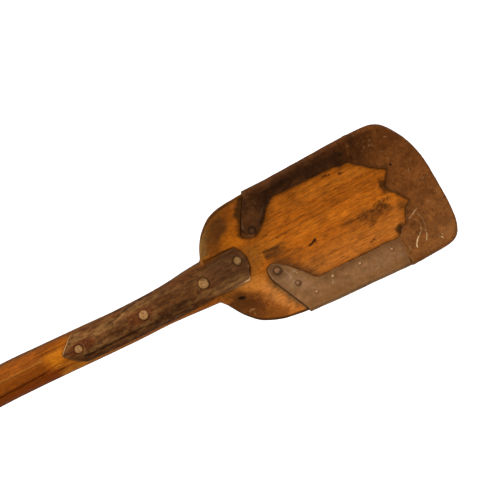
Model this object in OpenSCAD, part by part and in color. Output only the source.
// A long wooden tool: a round shaft runs through a neck into a broad, hollowed blade. Sheet
// iron is folded over the blade's rim, two iron straps clasp the neck, and rivets and nails
// hold them. The shaft lies along X, with the hollow facing up (+Z). The origin is on the
// shaft's axis, where the straight wall of the butt begins; the toe is towards +X.
// Left is +Y, looking from the butt to the toe.

/* [Overall] */
// Length from the butt of the shaft to the toe of the blade
overall_l = 1100; // [1020:10:1240]
// Diameter of the straight butt end of the shaft
butt_d = 36; // [34:0.5:37]
// Length of the straight butt end of the shaft
butt_l = 150; // [100:5:160]
// Rounding of the butt's end
butt_round = 5; // [2:0.5:8]

/* [Blade] */
// Radius of the hollow across the blade
dish_r = 118; // [112:1:130]
// Drop from the neck's face to the floor of the hollow
dish_drop = 26; // [22:0.5:28]
// Height of the neck's face above the shaft's axis at the heel
heel_z = 13; // [12:0.25:14]
// Lift of the toe above the floor
toe_lift = 7; // [3:0.5:12]
// Thickness of the wood along the middle of the blade
wood_mid_t = 10.5; // [9:0.25:12]
// How far the flat on the blade's back lies below the butt's underside
rest_drop = 4.3; // [4.1:0.1:4.6]
// Thickness of the wood at the rim of the blade
wood_rim_t = 4.2; // [3.5:0.1:5]

/* [Ironwork] */
// Thickness of the sheet iron
sheet_t = 1.2; // [0.9:0.1:1.5]
// Gap between the sheet iron and the wood
sheet_gap = 0.3; // [0.25:0.05:0.4]
// Width of the leaf folded behind the rim
back_leaf_w = 18; // [12:1:22]

/* [Rivets] */
// Diameter of the neck rivets' shanks
neck_shank_d = 6; // [5:0.5:7]
// Diameter of the tab rivets' shanks
tab_shank_d = 3.6; // [3:0.2:4]
// Diameter of the nails' shanks
nail_shank_d = 1.6; // [1.2:0.2:2]
// Clearance of each shank in its hole, on the radius
hole_gap = 0.12; // [0.1:0.01:0.2]

/* [Hidden] */

wood_colour = "#a8621f";
left_band_colour = "#3a2818";
right_band_colour = "#6b5540";
toe_colour = "#5d4128";
strap_colour = "#4a3526";
rivet_colour = "#a08560";
nail_colour = "#8a6a4c";

// Stations are lengths along the tool from x = zero_x, on the neck.
// A spot is a [station, y] pair.
toe_station = 304;
zero_x = overall_l - butt_round - toe_station;

// End of the cone that joins the butt to the lofted shaft
cone_end_station = -487;
cone_end_d = 37.8;

// The neck ends at the heel, and the blade's first ring stands just past it
heel_station = 55;
blade_station = 57;
heel_y = -0.6;
heel_half_w = 22.7;
heel_depth = 16.5;
heel_square = 4;

// ---- outlines -----------------------------------------------------------

// Left rim of the blade: [station, distance left of the axis]
LEFT_EDGE = [
    [57, 23.5], [60, 31.5], [65, 40], [70, 46.2], [80, 54.4], [90, 58.8], [100, 60.6],
    [120, 61.7], [150, 61.6], [200, 62.7], [240, 63.6], [262, 63], [270, 61.4],
    [277, 57.4], [283, 50.8], [288, 43.4], [292, 35.8], [296, 25.8], [299, 14.6],
    [301, 1.6], [302, -14], [302.3, -26]];

// Right rim of the blade: [station, distance right of the axis]
RIGHT_EDGE = [
    [57, 23.5], [60, 26.8], [65, 34.7], [70, 42], [80, 52.9], [90, 59.4], [100, 63.9],
    [110, 67], [120, 68.6], [130, 69.7], [150, 71], [170, 72], [200, 73],
    [250, 75.1], [270, 74.6], [283, 73.8], [290, 72.2], [295, 69.2], [298.5, 64],
    [300.8, 56.5], [302, 46.5], [302.3, 37]];

// Shaft and neck: [station, y of the axis, half width, height above, depth below, squareness],
// where a squareness of 2 is an ellipse and more is boxier
NECK = [
    [-500, 0, 18.7, 18.7, 18.7, 2], [-420, 0.4, 18.8, 18.8, 18.8, 2],
    [-330, 1.7, 18.9, 18.9, 18.9, 2], [-240, 3.5, 19, 19, 19, 2],
    [-170, 4.5, 19.1, 19.1, 19.1, 2], [-120, 2.9, 19.1, 19.1, 19.1, 2],
    [-80, 1.2, 19, 19, 19, 2], [-40, -0.6, 18.7, 19, 19, 2], [0, -0.9, 19, 19, 19, 2],
    [20, -0.9, 20.2, 17.6, 18.4, 2.2], [40, -0.6, 21.9, 14.4, 17.2, 3],
    [heel_station, heel_y, heel_half_w, heel_z, heel_depth, heel_square]];

// Stations of the wood's rings, and the points across the upper or lower half of a ring
NECK_RINGS = [-500, -420, -360, -300, -240, -200, -165, -140, -120, -95, -70, -45,
              -20, 0, 15, 29, 43, heel_station];
BLADE_RINGS = [blade_station, 59, 62, 66, 71, 78, 86, 94, 102, 110, 118, 130, 145, 160, 180,
               200, 215, 230, 245, 258, 268, 277, 284, 290, 295, 298.5, 301, 302.1];
half_pts = 21;

// ---- curves -------------------------------------------------------------

function clamp01(part) = max(0, min(1, part));
function smooth(part) = let (c = clamp01(part)) c * c * (3 - 2 * c);
function unit(v) = v / norm(v);
function rev(list) = [for (i = [len(list) - 1:-1:0]) list[i]];

function row_before(table, station, i = 0) =
    (i >= len(table) - 2 || station < table[i + 1][0]) ? i : row_before(table, station, i + 1);
function row_slope(table, i) =
    let (before = table[max(0, i - 1)], after = table[min(len(table) - 1, i + 1)])
    (after - before) / (after[0] - before[0]);

// The row at a station, on a smooth (cubic Hermite) curve through the rows of a table
function curve(table, station) =
    let (i = row_before(table, station),
         gap = table[i + 1][0] - table[i][0],
         part = clamp01((station - table[i][0]) / gap),
         square = part * part,
         cube = square * part)
    (2 * cube - 3 * square + 1) * table[i]
    + (cube - 2 * square + part) * gap * row_slope(table, i)
    + (3 * square - 2 * cube) * table[i + 1]
    + (cube - square) * gap * row_slope(table, i + 1);

// Past this station the middle and half width of the blade are held constant
hold_station = 262;
function y_left(station) = curve(LEFT_EDGE, station)[1];
function y_right(station) = -curve(RIGHT_EDGE, station)[1];
function y_mid(station) =
    let (held = min(station, hold_station)) (y_left(held) + y_right(held)) / 2;
function y_half(station) =
    let (held = min(station, hold_station)) (y_left(held) - y_right(held)) / 2;
function left_rim(stations) = [for (station = stations) [station, y_left(station)]];
function right_rim(stations) = [for (station = stations) [station, y_right(station)]];

// ---- surfaces of the blade ------------------------------------------------

// Each change along the blade: [station where it starts, length it takes]
DROP_RUN = [52, 66];
LIFT_RUN = [215, 88];
RIM_RUN = [50, 75];
THIN_RUN = [190, 112];
heel_rim_extra = 3.8;  // added to the rim's thickness at the heel
toe_thinning = 5;      // taken off the middle's thickness at the toe
rest_station = 160;    // where the flat lies rest_drop below the butt's underside

function progress(run, station) = (station - run[0]) / run[1];
function floor_z(station) = heel_z - dish_drop * smooth(progress(DROP_RUN, station))
    + (station > LIFT_RUN[0] ? toe_lift * pow(progress(LIFT_RUN, station), 2) : 0);

// Sine of the hollow's tilt across the blade, and the direction square to it
function lean(spot) = (spot.y - y_mid(spot.x)) / dish_r;
function up(spot) = [0, -lean(spot), sqrt(1 - pow(lean(spot), 2))];
function face_z(spot) = floor_z(spot.x) + dish_r * (1 - up(spot).z);
function face(spot) = [zero_x + spot.x, spot.y, face_z(spot)];

function rim_t(station) =
    wood_rim_t + heel_rim_extra * (1 - smooth(progress(RIM_RUN, station)));
function mid_t(station) = wood_mid_t - toe_thinning * clamp01(progress(THIN_RUN, station));
function wood_t(spot) =
    let (rim = rim_t(spot.x), across = (spot.y - y_mid(spot.x)) / y_half(spot.x))
    rim + (mid_t(spot.x) - rim) * (1 - min(1, pow(across, 2)));
function back(spot) = face(spot) - wood_t(spot) * up(spot);

// The heel's underside carried on under the blade; beside it, a height above all the wood
no_tail_z = 99;
function tail_z(y) =
    let (part = abs(y - heel_y) / heel_half_w)
    part < 1 ? -heel_depth * pow(1 - pow(part, heel_square), 1 / heel_square) : no_tail_z;

// The back is dressed flat along the middle, in the plane the tool rests on
function rest_z(station) =
    -butt_d / 2 - rest_drop * (zero_x + station) / (zero_x + rest_station);
function carved_back(spot) =
    let (p = back(spot)) [p.x, p.y, max(rest_z(spot.x), min(p.z, tail_z(p.y)))];

// ---- rings and lofts ------------------------------------------------------

// A sine or cosine reshaped to draw a superellipse
function squared(value, squareness) = sign(value) * pow(abs(value), 2 / squareness);

function neck_ring(station) =
    let (row = curve(NECK, station),
         x = zero_x + station,
         angles = [for (i = [0:half_pts - 1]) (i + 0.5) * 180 / half_pts],
         skin = function (angle, height)
             [x, row[1] - row[2] * squared(cos(angle), row[5]),
              height * squared(sin(angle), row[5])])
    concat([for (angle = angles) skin(angle, row[3])],
           [[x, row[1] + row[2], 0]],
           [for (angle = rev(angles)) skin(angle, -row[4])],
           [[x, row[1] - row[2], 0]]);

function blade_ring(station) =
    let (left = [station, y_left(station)],
         right = [station, y_right(station)],
         spots = [for (i = [0:half_pts - 1])
             (left + right) / 2 - (left - right) / 2 * cos(i * 180 / (half_pts - 1))])
    concat([for (spot = spots) face(spot)],
           [(face(left) + back(left)) / 2],
           [for (spot = rev(spots)) carved_back(spot)],
           [(face(right) + back(right)) / 2]);

// A closed solid through rings of the same number of points. The end rings of a solid ring
// section are closed flat; those of a sheet, whose second half runs back beside the first,
// are closed by a strip between the two halves.
module loft(rings, sheet = false) {
    count = len(rings[0]);
    last = (len(rings) - 1) * count;
    points = [for (ring = rings) for (p = ring) p];
    walls = [for (k = [0:len(rings) - 2]) for (i = [0:count - 1])
        let (a = k * count + i, b = k * count + (i + 1) % count, c = a + count, d = b + count)
        for (f = [[a, b, d], [a, d, c]]) f];
    flat_ends = [[for (i = [count - 1:-1:0]) i], [for (i = [0:count - 1]) last + i]];
    strip_ends = [for (j = [0:count / 2 - 2])
        let (p = j + 1, q = count - 2 - j, r = count - 1 - j)
        for (f = [[j, r, q], [j, q, p],
                  [last + j, last + p, last + q], [last + j, last + q, last + r]]) f];
    polyhedron(points, concat(walls, sheet ? strip_ends : flat_ends));
}

// ---- places and holes of the fasteners --------------------------------------

// Spots on the hollow face; each tab's larger rivet comes first
LEFT_TAB = [[116.4, 25.4], [131.7, 49.1]];
RIGHT_TAB = [[120.5, -23.4], [133.3, -43.8]];
LEFT_NAILS = [[168, 55], [200, 56], [229, 54]];
RIGHT_NAILS = [[145.7, -59.6], [167.1, -53.6], [197.1, -54.8], [232, -57]];
TOE_NAILS = [[270, 19], [281, -66], [262, 53], [293, -8]];

// Neck rivets 1 to 4, from the blade towards the butt. Upright ones are [station, y], and
// tilted ones [station, angle round the neck towards the left].
UPRIGHT_RIVETS = [[89.1, 5.6], [49.2, 2.7]];
TILTED_RIVETS = [[-18.1, 10.5], [-91.2, 3]];

// Bottom and top of each hole, from the neck's axis or from the hollow face
NECK_BORE = [-40, 40];
TAB_BORE = [-20, 6];
NAIL_BORE = [-3.6, 4];

// Stands children on the hollow face, with +Z square to the face
module on_face(spot) {
    slope = face_z(spot + [0.5, 0]) - face_z(spot - [0.5, 0]);
    translate(face(spot))
        rotate([asin(lean(spot)), 0, 0])
            rotate([0, -atan(slope), 0])
                children();
}
// Stands children at the height of the shaft's axis, with +Z straight up
module upright(spot) translate([zero_x + spot.x, spot.y, 0]) children();
// Stands children on the neck's axis, with +Z tilted round the neck
module tilted(place)
    translate([zero_x + place[0], curve(NECK, place[0])[1], 0])
        rotate([-place[1], 0, 0])
            children();

module rod(d, bottom, top) translate([0, 0, bottom]) cylinder(d = d, h = top - bottom, $fn = 48);
module bore(shank_d, span) rod(shank_d + 2 * hole_gap, span[0], span[1]);
module neck_bores() {
    for (place = TILTED_RIVETS) tilted(place) bore(neck_shank_d, NECK_BORE);
    for (spot = UPRIGHT_RIVETS) upright(spot) bore(neck_shank_d, NECK_BORE);
}
module tab_bores(spots) for (spot = spots) on_face(spot) bore(tab_shank_d, TAB_BORE);
module nail_bores(spots) for (spot = spots) on_face(spot) bore(nail_shank_d, NAIL_BORE);

// ---- the wood ---------------------------------------------------------------

// Straight butt with its rounded end
module butt() rotate([0, 90, 0]) rotate_extrude($fn = 96) union() {
    translate([0, -butt_round]) square([butt_d / 2 - butt_round, butt_l]);
    square([butt_d / 2, butt_l]);
    intersection() {
        translate([butt_d / 2 - butt_round, 0]) circle(butt_round, $fn = 48);
        translate([0, -butt_round]) square([butt_d, 2 * butt_round]);
    }
}

module shaft_and_blade() color(wood_colour) difference() {
    union() {
        butt();
        translate([butt_l, 0, 0]) rotate([0, 90, 0])
            cylinder(d1 = butt_d, d2 = cone_end_d, h = zero_x + cone_end_station - butt_l,
                     $fn = 96);
        loft(concat([for (station = NECK_RINGS) neck_ring(station)],
                    [for (station = BLADE_RINGS) blade_ring(station)]));
    }
    neck_bores();
    tab_bores(LEFT_TAB);
    tab_bores(RIGHT_TAB);
    nail_bores(LEFT_NAILS);
    nail_bores(RIGHT_NAILS);
    nail_bores(TOE_NAILS);
}

// ---- folded sheet iron ------------------------------------------------------

// Inner edge of each sheet as spots, and the stations where its sections meet the rim
LEFT_IN = [
    [105.5, 25.2], [109, 20], [116, 18.8], [123, 21.8], [130, 28], [137, 36.2],
    [143, 42.5], [148, 46.4], [165, 46], [185, 45.7], [205, 45.2], [216, 44.9],
    [220, 44], [224, 42.2], [230, 42.2], [234.2, 42]];
LEFT_RIM = [124.8, 125.7, 126.6, 127.6, 129, 132, 138, 147, 165, 185, 205, 215, 221, 227,
            233, 239];
RIGHT_IN = [
    [111.5, -23.8], [113, -17.3], [117, -15], [122, -16], [126.5, -20], [135, -27],
    [143, -35.8], [153, -47.2], [175, -47.9], [195, -48.5], [215, -49], [230, -49.3],
    [243.4, -49.6]];
RIGHT_RIM = [132, 133, 134, 135.2, 136.6, 139, 144, 153, 175, 195, 215, 230, 243.2];
TOE_IN = [
    [235.6, 41.7], [237, 37.4], [245, 32], [251, 26], [256, 23], [261.5, 20], [265, 15.5],
    [262.4, 11.8], [257.6, 5.7], [255.5, 0.7], [257.6, -3.7], [261.5, -8], [264, -11.3],
    [267.6, -16.7], [270, -19.8], [268.4, -23.5], [265.6, -26.3], [263, -29],
    [260, -34.4], [258.6, -37.8], [256.4, -41], [251, -42.6], [248.6, -46], [246, -49.8]];
TOE_LEFT = [240.6, 250, 258, 265, 271, 277, 283, 288, 292, 296, 299, 301, 302.3];
TOE_RIGHT = [302.3, 301.8, 300.6, 298.5, 295.5, 290, 283, 275, 265, 255, 244.8];

// Steps across the hollow face and across the back leaf
face_steps = 8;
leaf_steps = 3;

// One surface of a sheet's section, held off the wood: it lies on the hollow face from the
// inner spot to the rim, folds over and lies behind it. out points out of the rim.
function fold_side(inner, rim, out, off) =
    let (normal = up(rim),
         inward = unit(inner - rim),
         turn = function (angle) off * (normal * cos(angle) + out * sin(angle)))
    concat([for (j = [0:face_steps - 1])
                let (spot = inner + (rim - inner) * j / face_steps) face(spot) + off * up(spot)],
           [for (angle = [0, 45, 90]) face(rim) + turn(angle)],
           [for (angle = [90, 135, 180]) back(rim) + turn(angle)],
           [for (j = [1:leaf_steps])
                let (spot = rim + inward * back_leaf_w * j / leaf_steps)
                back(spot) - off * up(spot)]);

// side is 1 where the outside lies to the right of the rim's run, and -1 where to the left
module folded_sheet(inner, rim, side) {
    last = len(rim) - 1;
    loft([for (k = [0:last])
        let (run = unit(face(rim[min(last, k + 1)]) - face(rim[max(0, k - 1)])),
             out = side * unit(cross(run, up(rim[k]))),
             inside = fold_side(inner[k], rim[k], out, sheet_gap),
             outside = fold_side(inner[k], rim[k], out, sheet_gap + sheet_t))
        side < 0 ? concat(outside, rev(inside)) : concat(inside, rev(outside))], true);
}

module left_edge_band() color(left_band_colour) difference() {
    folded_sheet(LEFT_IN, left_rim(LEFT_RIM), -1);
    tab_bores(LEFT_TAB);
    nail_bores(LEFT_NAILS);
}
module right_edge_band() color(right_band_colour) difference() {
    folded_sheet(RIGHT_IN, right_rim(RIGHT_RIM), 1);
    tab_bores(RIGHT_TAB);
    nail_bores(RIGHT_NAILS);
}
module toe_plate() color(toe_colour) difference() {
    folded_sheet(TOE_IN, concat(left_rim(TOE_LEFT), right_rim(TOE_RIGHT)), -1);
    nail_bores(TOE_NAILS);
}

// ---- straps on the neck -------------------------------------------------------

// Edges of the straps: [station, right edge, left edge]. Up to the heel they are arc
// distances from the crest; past it, the front strap's are y and the back's y from heel_y.
FRONT_EDGES = [
    [-108.6, 1.4, 2.4], [-104, -3.4, 6.6], [-99.5, -7.4, 11.2], [-95, -11, 15.4],
    [-91, -14, 18.6], [-87, -15.6, 19.6], [-60, -16, 21], [-40, -15.8, 23.5],
    [0, -16.2, 23.5], [12, -15.7, 23.5], [24, -14.1, 21.8], [32, -12.3, 20],
    [40, -10.7, 18.2], [45, -9.8, 17.2], [49, -9.2, 16.4], [52, -11, 17.3],
    [55, -14.6, 18.3], [57, -15.9, 18.9], [60, -16.4, 19.2], [80, -17.2, 18.8],
    [93, -17.6, 18.4], [96, -12, 12], [98.4, -6, 5]];
BACK_EDGES = [
    [-102, -1, 1], [-98, -6, 6], [-93, -11, 11], [-86, -15, 15], [0, -15, 15],
    [50, -14, 14], [90, -13.5, 13.5], [94, -9, 9], [96, -4, 4]];
FRONT_RINGS = [-108.6, -104, -99.5, -95, -91, -87, -75, -60, -45, -30, -15, 0, 8, 15, 22, 29,
               36, 43, 48, 52, 55.5, 57, 60, 65, 70, 75, 80, 85, 89, 93, 96, 98.4];
BACK_RINGS = [-102, -98, -93, -86, -75, -60, -45, -30, -15, 0, 8, 15, 22, 29, 36, 43, 49, 54,
              60, 75, 90, 94, 96];
strap_steps = 12;

// A point off the neck's skin, at an arc distance from its crest; side is 1 above, -1 below
function on_skin(station, arc, off, side) =
    let (row = curve(NECK, station),
         half_w = row[2],
         height = side > 0 ? row[3] : row[4],
         square = row[5],
         angle = arc / ((half_w + height) / 2) * 180 / PI,
         dual = square / (square - 1),
         normal = unit([squared(sin(angle), dual) / half_w,
                        side * squared(cos(angle), dual) / height]))
    [zero_x + station,
     row[1] + half_w * squared(sin(angle), square) + off * normal.x,
     side * height * squared(cos(angle), square) + off * normal.y];
function past_heel(station, across, off, side) =
    let (spot = [max(station, blade_station), across],
         p = side > 0 ? face(spot) + off * up(spot)
                      : [0, across + heel_y, tail_z(across + heel_y) - off])
    [zero_x + station, p.y, p.z];

module strap(edges, stations, side) {
    loft([for (station = stations)
        let (ends = [for (c = [1, 2]) lookup(station, [for (e = edges) [e[0], e[c]]])],
             row = function (off) [for (j = [0:strap_steps])
                 let (across = ends[0] + (ends[1] - ends[0]) * j / strap_steps)
                 station < heel_station ? on_skin(station, across, off, side)
                                        : past_heel(station, across, off, side)],
             inside = row(sheet_gap),
             outside = row(sheet_gap + sheet_t))
        side > 0 ? concat(outside, rev(inside)) : concat(inside, rev(outside))], true);
}
module neck_strap_front() color(strap_colour) difference() {
    strap(FRONT_EDGES, FRONT_RINGS, 1);
    neck_bores();
}
module neck_strap_back() color(strap_colour) difference() {
    strap(BACK_EDGES, BACK_RINGS, -1);
    neck_bores();
}

// ---- neck rivets ----------------------------------------------------------------

head_lift = sheet_gap + sheet_t + 0.12;  // from the wood to the underside of a head
neck_head_h = 1.6;
neck_head_1_h = 1.5;
back_head_d = 9;
back_head_h = 1.4;
shank_bite = 0.6;         // how far a neck shank runs into its heads
shank_1_back_bite = 0.5;
rivet_1_lift = 0.1;       // extra height of the first head
rivet_2_lift = 0.35;      // extra height of the second head

module flat_head(d, h) {
    cylinder(d = d, h = h * 0.6, $fn = 48);
    translate([0, 0, h * 0.6]) cylinder(d1 = d, d2 = d - 1, h = h * 0.4, $fn = 48);
}
module back_head(depth)
    translate([0, 0, -depth]) rotate([180, 0, 0]) flat_head(back_head_d, back_head_h);
// A rivet through the neck, with its heads seated at top above and depth below the axis
module through_rivet(head_d, top, depth) union() {
    translate([0, 0, top]) flat_head(head_d, neck_head_h);
    rod(neck_shank_d, -depth - shank_bite, top + shank_bite);
    back_head(depth);
}
module tilted_rivet(place, head_d) {
    top = curve(NECK, place[0])[3] + head_lift;
    tilted(place) through_rivet(head_d, top, top);
}

module neck_rivet_1() color(rivet_colour) union() {
    spot = UPRIGHT_RIVETS[0];
    depth = heel_depth + head_lift;
    translate([0, 0, head_lift + rivet_1_lift]) on_face(spot) flat_head(8.9, neck_head_1_h);
    upright(spot) {
        rod(neck_shank_d, -depth - shank_1_back_bite, face_z(spot) + head_lift + shank_bite);
        back_head(depth);
    }
}
module neck_rivet_2() color(rivet_colour) union() {
    spot = UPRIGHT_RIVETS[1];
    row = curve(NECK, spot.x);
    upright(spot) through_rivet(head_d = 11.2, top = row[3] + head_lift + rivet_2_lift,
                                depth = row[4] + head_lift);
}
module neck_rivet_3() color(rivet_colour) tilted_rivet(TILTED_RIVETS[0], head_d = 10);
module neck_rivet_4() color(rivet_colour) tilted_rivet(TILTED_RIVETS[1], head_d = 8.6);

// ---- tab rivets, roves and nails ---------------------------------------------------

// A rove lies on the wood, or on the band's back leaf where the leaf reaches that far
rove_t = 1;
on_wood = 0.25;
on_leaf = sheet_gap + sheet_t + 0.15;
large_rove_d = 10;
small_rove_d = 8.4;
small_head_d = 5.6;
tab_head_h = 1.2;
tail_head_h = 0.8;      // shank's spread end behind the rove
tail_head_extra = 1.8;  // its diameter beyond the shank's
tail_head_gap = 0.1;
nail_head_h = 0.6;

// Slope of the blade's back across the blade, against the hollow face
function back_tilt(spot) =
    atan((wood_t(spot - [0, 0.5]) - wood_t(spot + [0, 0.5])) * up(spot).z);
module behind(spot, under)
    on_face(spot)
        translate([0, 0, -wood_t(spot) - under])
            rotate([back_tilt(spot), 0, 0])
                children();

module tab_rivet(spot, head_d, under) union() {
    on_face(spot) {
        translate([0, 0, head_lift]) flat_head(head_d, tab_head_h);
        rod(tab_shank_d, -wood_t(spot) - under - rove_t - 0.5, head_lift + 0.4);
    }
    behind(spot, under + rove_t + tail_head_gap)
        rod(tab_shank_d + tail_head_extra, -tail_head_h, 0);
}
module tab_rove(spot, d, under) difference() {
    behind(spot, under) rod(d, -rove_t, 0);
    on_face(spot) bore(tab_shank_d, [TAB_BORE[0], 0]);
}
module nails(spots, head_d) for (spot = spots) on_face(spot) union() {
    translate([0, 0, head_lift - 0.02]) cylinder(d = head_d, h = nail_head_h, $fn = 32);
    rod(nail_shank_d, -3.3, head_lift + 0.3);
}

module left_tab_rivet_large() color(left_band_colour) tab_rivet(LEFT_TAB[0], 7.4, on_wood);
module left_tab_rivet_small()
    color(left_band_colour) tab_rivet(LEFT_TAB[1], small_head_d, on_leaf);
module right_tab_rivet_large() color(right_band_colour) tab_rivet(RIGHT_TAB[0], 7.6, on_wood);
module right_tab_rivet_small()
    color(right_band_colour) tab_rivet(RIGHT_TAB[1], small_head_d, on_wood);
module left_tab_roves() color(left_band_colour) {
    tab_rove(LEFT_TAB[0], large_rove_d, on_wood);
    tab_rove(LEFT_TAB[1], small_rove_d, on_leaf);
}
module right_tab_roves() color(right_band_colour) {
    tab_rove(RIGHT_TAB[0], large_rove_d, on_wood);
    tab_rove(RIGHT_TAB[1], small_rove_d, on_wood);
}
module left_band_nails() color(nail_colour) nails(LEFT_NAILS, head_d = 3.4);
module right_band_nails() color(nail_colour) nails(RIGHT_NAILS, head_d = 3.6);
module toe_plate_nails() color(nail_colour) nails(TOE_NAILS, head_d = 3.2);

shaft_and_blade();
left_edge_band();
right_edge_band();
toe_plate();
neck_strap_front();
neck_strap_back();
neck_rivet_1();
neck_rivet_2();
neck_rivet_3();
neck_rivet_4();
left_tab_rivet_large();
left_tab_rivet_small();
right_tab_rivet_large();
right_tab_rivet_small();
left_tab_roves();
right_tab_roves();
left_band_nails();
right_band_nails();
toe_plate_nails();
